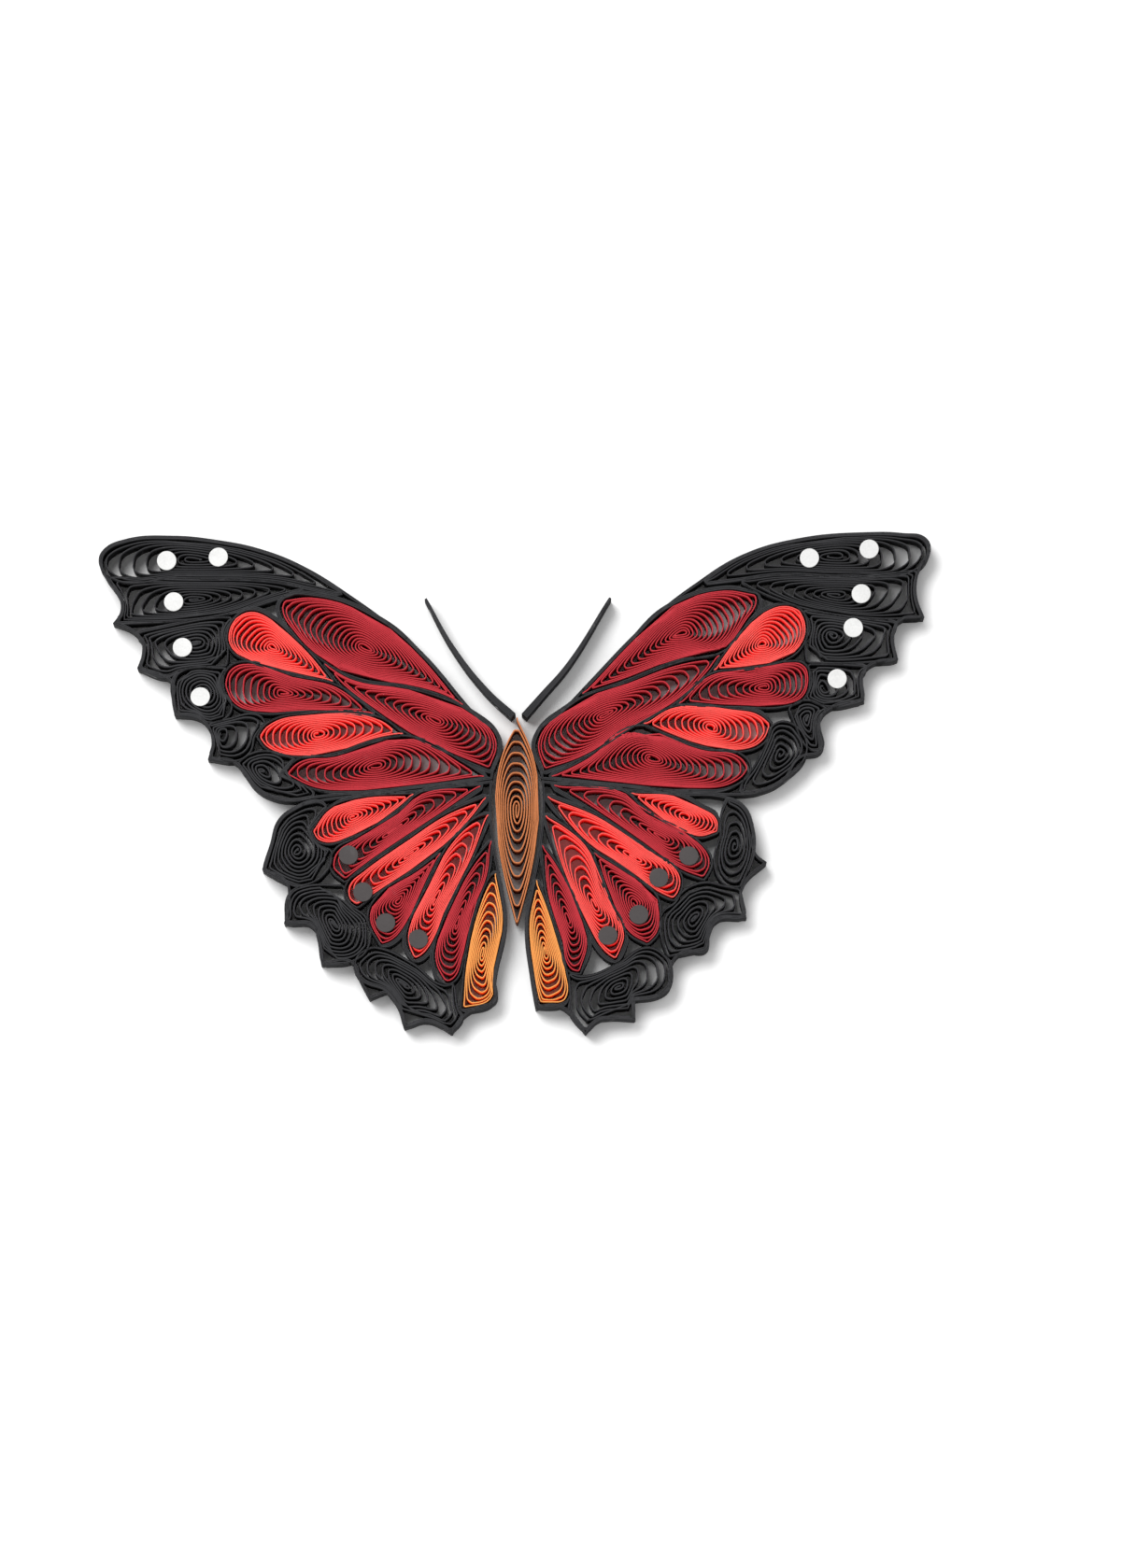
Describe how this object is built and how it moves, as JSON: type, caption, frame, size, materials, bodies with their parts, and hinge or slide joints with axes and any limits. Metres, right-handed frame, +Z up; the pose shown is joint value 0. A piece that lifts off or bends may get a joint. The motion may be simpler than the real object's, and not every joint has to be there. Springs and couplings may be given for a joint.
{
  "type": "quilled paper butterfly",
  "caption": "Flat butterfly of narrow paper strips on edge: coils of coral, crimson, orange and black set in a black web, with a copper body coil and two antennae.",
  "frame": {"origin": "centre of the butterfly's box at the glued underside", "axes": "+Z up out of the glued face, +Y towards the head, +X towards the right wings as seen from above"},
  "size_m": [0.0921, 0.0559, 0.0032],
  "materials": {
    "copper_paper": "matt",
    "white_paper": "matt",
    "grey_paper": "matt",
    "coral_paper": "matt",
    "crimson_paper": "matt",
    "orange_paper": "matt",
    "black_paper": "matt"
  },
  "bodies": {
    "root": {"body_coil": "copper_paper", "left_antenna": "black_paper", "left_fore_black_fifth": "black_paper", "left_fore_black_fourth": "black_paper", "left_fore_black_low": "black_paper", "left_fore_black_second": "black_paper", "left_fore_black_third": "black_paper", "left_fore_black_tip": "black_paper", "left_fore_coral_lower": "coral_paper", "left_fore_coral_upper": "coral_paper", "left_fore_crimson_lower": "crimson_paper", "left_fore_crimson_middle": "crimson_paper", "left_fore_crimson_narrow": "crimson_paper", "left_fore_crimson_upper": "crimson_paper", "left_fore_frame": "black_paper", "left_grey_dots": "grey_paper", "left_hind_black_inner": "black_paper", "left_hind_black_middle": "black_paper", "left_hind_black_outer": "black_paper", "left_hind_coral_first": "coral_paper", "left_hind_coral_second": "coral_paper", "left_hind_coral_third": "coral_paper", "left_hind_crimson_first": "crimson_paper", "left_hind_crimson_second": "crimson_paper", "left_hind_crimson_short": "crimson_paper", "left_hind_frame": "black_paper", "left_hind_orange": "orange_paper", "left_white_dots": "white_paper", "right_antenna": "black_paper", "right_fore_black_fifth": "black_paper", "right_fore_black_fourth": "black_paper", "right_fore_black_low": "black_paper", "right_fore_black_second": "black_paper", "right_fore_black_third": "black_paper", "right_fore_black_tip": "black_paper", "right_fore_coral_lower": "coral_paper", "right_fore_coral_upper": "coral_paper", "right_fore_crimson_lower": "crimson_paper", "right_fore_crimson_middle": "crimson_paper", "right_fore_crimson_narrow": "crimson_paper", "right_fore_crimson_upper": "crimson_paper", "right_fore_frame": "black_paper", "right_grey_dots": "grey_paper", "right_hind_black_inner": "black_paper", "right_hind_black_middle": "black_paper", "right_hind_black_outer": "black_paper", "right_hind_coral_first": "coral_paper", "right_hind_coral_second": "coral_paper", "right_hind_coral_third": "coral_paper", "right_hind_crimson_first": "crimson_paper", "right_hind_crimson_second": "crimson_paper", "right_hind_crimson_short": "crimson_paper", "right_hind_frame": "black_paper", "right_hind_orange": "orange_paper", "right_white_dots": "white_paper"}
  },
  "joints": []
}
